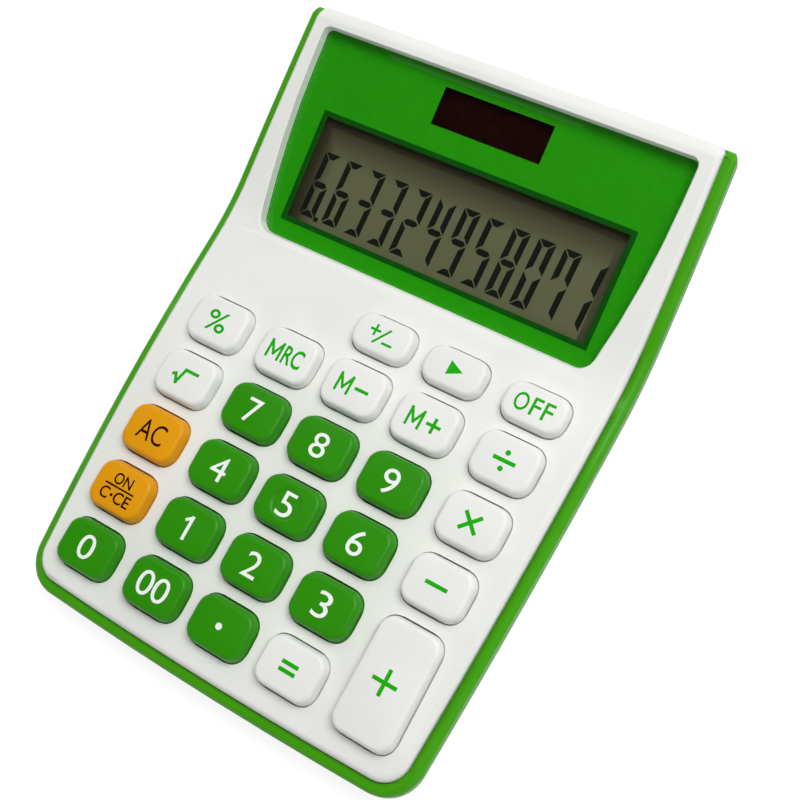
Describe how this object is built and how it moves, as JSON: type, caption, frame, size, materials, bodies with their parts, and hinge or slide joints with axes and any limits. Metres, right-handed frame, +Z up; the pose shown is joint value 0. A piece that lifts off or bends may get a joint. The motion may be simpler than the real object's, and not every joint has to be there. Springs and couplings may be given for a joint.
{
  "type": "desk calculator",
  "caption": "Desk calculator with a tilted display window, solar strip and sprung rounded keys in a moulded case with a contrasting rim.",
  "frame": {"origin": "centre of the body's outline, at the table under the feet", "axes": "+X to the right, +Y from the front edge towards the display, +Z up from the table"},
  "size_m": [0.1056, 0.1435, 0.0337],
  "materials": {
    "green_shell": "satin moulded",
    "white_shell": "satin moulded",
    "clear_window": "polished clear",
    "window_print": "printed behind the window",
    "liquid_crystal": "grey liquid crystal",
    "reflector_film": "silvered film",
    "ribbon": "film",
    "solar_glass": "dark amorphous cell",
    "foam": "foam",
    "inner_plastic": "moulded",
    "circuit_board": "paper laminate",
    "resin": "potting resin",
    "silicone": "silicone",
    "screw_steel": "zinc plated",
    "foot_rubber": "soft",
    "cell_steel": "plain",
    "contact_steel": "sprung strip",
    "green_key": "satin moulded",
    "orange_key": "satin moulded",
    "white_key": "satin moulded"
  },
  "bodies": {
    "case": {"bottom_case": "green_shell", "battery_door": "green_shell", "top_cover": "white_shell", "display_lens": "clear_window", "lens_print": "window_print", "lcd_glass": "liquid_crystal", "lcd_reflector": "reflector_film", "lcd_ribbon": "ribbon", "solar_cell": "solar_glass", "solar_pad": "foam", "display_holder": "inner_plastic", "main_board": "circuit_board", "chip": "resin", "rubber_sheet": "silicone", "case_screws": "screw_steel", "rubber_feet": "foot_rubber", "button_cell": "cell_steel", "cell_contact_minus": "contact_steel", "cell_contact_plus": "contact_steel"},
    "key_0": {"key_0": "green_key"},
    "key_00": {"key_00": "green_key"},
    "key_point": {"key_point": "green_key"},
    "key_1": {"key_1": "green_key"},
    "key_2": {"key_2": "green_key"},
    "key_3": {"key_3": "green_key"},
    "key_4": {"key_4": "green_key"},
    "key_5": {"key_5": "green_key"},
    "key_6": {"key_6": "green_key"},
    "key_7": {"key_7": "green_key"},
    "key_8": {"key_8": "green_key"},
    "key_9": {"key_9": "green_key"},
    "key_on_clear": {"key_on_clear": "orange_key"},
    "key_all_clear": {"key_all_clear": "orange_key"},
    "key_equals": {"key_equals": "white_key"},
    "key_minus": {"key_minus": "white_key"},
    "key_root": {"key_root": "white_key"},
    "key_multiply": {"key_multiply": "white_key"},
    "key_percent": {"key_percent": "white_key"},
    "key_memory_recall": {"key_memory_recall": "white_key"},
    "key_memory_minus": {"key_memory_minus": "white_key"},
    "key_memory_plus": {"key_memory_plus": "white_key"},
    "key_divide": {"key_divide": "white_key"},
    "key_sign": {"key_sign": "white_key"},
    "key_backspace": {"key_backspace": "white_key"},
    "key_off": {"key_off": "white_key"},
    "key_plus": {"key_plus": "white_key"}
  },
  "joints": [
    {"name": "key_0_press", "type": "slide", "parent": "case", "child": "key_0", "axis": [0, 0.076, -0.9971], "range_m": [0, 0.0015], "stiffness_N_per_m": 300, "springref_m": -0.0005, "deforming": ["rubber_sheet"]},
    {"name": "key_00_press", "type": "slide", "parent": "case", "child": "key_00", "axis": [0, 0.076, -0.9971], "range_m": [0, 0.0015], "stiffness_N_per_m": 300, "springref_m": -0.0005, "deforming": ["rubber_sheet"]},
    {"name": "key_point_press", "type": "slide", "parent": "case", "child": "key_point", "axis": [0, 0.076, -0.9971], "range_m": [0, 0.0015], "stiffness_N_per_m": 300, "springref_m": -0.0005, "deforming": ["rubber_sheet"]},
    {"name": "key_1_press", "type": "slide", "parent": "case", "child": "key_1", "axis": [0, 0.076, -0.9971], "range_m": [0, 0.0015], "stiffness_N_per_m": 300, "springref_m": -0.0005, "deforming": ["rubber_sheet"]},
    {"name": "key_2_press", "type": "slide", "parent": "case", "child": "key_2", "axis": [0, 0.076, -0.9971], "range_m": [0, 0.0015], "stiffness_N_per_m": 300, "springref_m": -0.0005, "deforming": ["rubber_sheet"]},
    {"name": "key_3_press", "type": "slide", "parent": "case", "child": "key_3", "axis": [0, 0.076, -0.9971], "range_m": [0, 0.0015], "stiffness_N_per_m": 300, "springref_m": -0.0005, "deforming": ["rubber_sheet"]},
    {"name": "key_4_press", "type": "slide", "parent": "case", "child": "key_4", "axis": [0, 0.076, -0.9971], "range_m": [0, 0.0015], "stiffness_N_per_m": 300, "springref_m": -0.0005, "deforming": ["rubber_sheet"]},
    {"name": "key_5_press", "type": "slide", "parent": "case", "child": "key_5", "axis": [0, 0.076, -0.9971], "range_m": [0, 0.0015], "stiffness_N_per_m": 300, "springref_m": -0.0005, "deforming": ["rubber_sheet"]},
    {"name": "key_6_press", "type": "slide", "parent": "case", "child": "key_6", "axis": [0, 0.076, -0.9971], "range_m": [0, 0.0015], "stiffness_N_per_m": 300, "springref_m": -0.0005, "deforming": ["rubber_sheet"]},
    {"name": "key_7_press", "type": "slide", "parent": "case", "child": "key_7", "axis": [0, 0.076, -0.9971], "range_m": [0, 0.0015], "stiffness_N_per_m": 300, "springref_m": -0.0005, "deforming": ["rubber_sheet"]},
    {"name": "key_8_press", "type": "slide", "parent": "case", "child": "key_8", "axis": [0, 0.076, -0.9971], "range_m": [0, 0.0015], "stiffness_N_per_m": 300, "springref_m": -0.0005, "deforming": ["rubber_sheet"]},
    {"name": "key_9_press", "type": "slide", "parent": "case", "child": "key_9", "axis": [0, 0.076, -0.9971], "range_m": [0, 0.0015], "stiffness_N_per_m": 300, "springref_m": -0.0005, "deforming": ["rubber_sheet"]},
    {"name": "key_on_clear_press", "type": "slide", "parent": "case", "child": "key_on_clear", "axis": [0, 0.076, -0.9971], "range_m": [0, 0.0015], "stiffness_N_per_m": 300, "springref_m": -0.0005, "deforming": ["rubber_sheet"]},
    {"name": "key_all_clear_press", "type": "slide", "parent": "case", "child": "key_all_clear", "axis": [0, 0.076, -0.9971], "range_m": [0, 0.0015], "stiffness_N_per_m": 300, "springref_m": -0.0005, "deforming": ["rubber_sheet"]},
    {"name": "key_equals_press", "type": "slide", "parent": "case", "child": "key_equals", "axis": [0, 0.076, -0.9971], "range_m": [0, 0.0015], "stiffness_N_per_m": 300, "springref_m": -0.0005, "deforming": ["rubber_sheet"]},
    {"name": "key_minus_press", "type": "slide", "parent": "case", "child": "key_minus", "axis": [0, 0.076, -0.9971], "range_m": [0, 0.0015], "stiffness_N_per_m": 300, "springref_m": -0.0005, "deforming": ["rubber_sheet"]},
    {"name": "key_root_press", "type": "slide", "parent": "case", "child": "key_root", "axis": [0, 0.076, -0.9971], "range_m": [0, 0.0015], "stiffness_N_per_m": 300, "springref_m": -0.0005, "deforming": ["rubber_sheet"]},
    {"name": "key_multiply_press", "type": "slide", "parent": "case", "child": "key_multiply", "axis": [0, 0.076, -0.9971], "range_m": [0, 0.0015], "stiffness_N_per_m": 300, "springref_m": -0.0005, "deforming": ["rubber_sheet"]},
    {"name": "key_percent_press", "type": "slide", "parent": "case", "child": "key_percent", "axis": [0, 0.076, -0.9971], "range_m": [0, 0.0015], "stiffness_N_per_m": 300, "springref_m": -0.0005, "deforming": ["rubber_sheet"]},
    {"name": "key_memory_recall_press", "type": "slide", "parent": "case", "child": "key_memory_recall", "axis": [0, 0.076, -0.9971], "range_m": [0, 0.0015], "stiffness_N_per_m": 300, "springref_m": -0.0005, "deforming": ["rubber_sheet"]},
    {"name": "key_memory_minus_press", "type": "slide", "parent": "case", "child": "key_memory_minus", "axis": [0, 0.076, -0.9971], "range_m": [0, 0.0015], "stiffness_N_per_m": 300, "springref_m": -0.0005, "deforming": ["rubber_sheet"]},
    {"name": "key_memory_plus_press", "type": "slide", "parent": "case", "child": "key_memory_plus", "axis": [0, 0.076, -0.9971], "range_m": [0, 0.0015], "stiffness_N_per_m": 300, "springref_m": -0.0005, "deforming": ["rubber_sheet"]},
    {"name": "key_divide_press", "type": "slide", "parent": "case", "child": "key_divide", "axis": [0, 0.076, -0.9971], "range_m": [0, 0.0015], "stiffness_N_per_m": 300, "springref_m": -0.0005, "deforming": ["rubber_sheet"]},
    {"name": "key_sign_press", "type": "slide", "parent": "case", "child": "key_sign", "axis": [0, 0.076, -0.9971], "range_m": [0, 0.0015], "stiffness_N_per_m": 300, "springref_m": -0.0005, "deforming": ["rubber_sheet"]},
    {"name": "key_backspace_press", "type": "slide", "parent": "case", "child": "key_backspace", "axis": [0, 0.076, -0.9971], "range_m": [0, 0.0015], "stiffness_N_per_m": 300, "springref_m": -0.0005, "deforming": ["rubber_sheet"]},
    {"name": "key_off_press", "type": "slide", "parent": "case", "child": "key_off", "axis": [0, 0.076, -0.9971], "range_m": [0, 0.0015], "stiffness_N_per_m": 300, "springref_m": -0.0005, "deforming": ["rubber_sheet"]},
    {"name": "key_plus_press", "type": "slide", "parent": "case", "child": "key_plus", "axis": [0, 0.076, -0.9971], "range_m": [0, 0.0015], "stiffness_N_per_m": 300, "springref_m": -0.0005, "deforming": ["rubber_sheet"]}
  ]
}
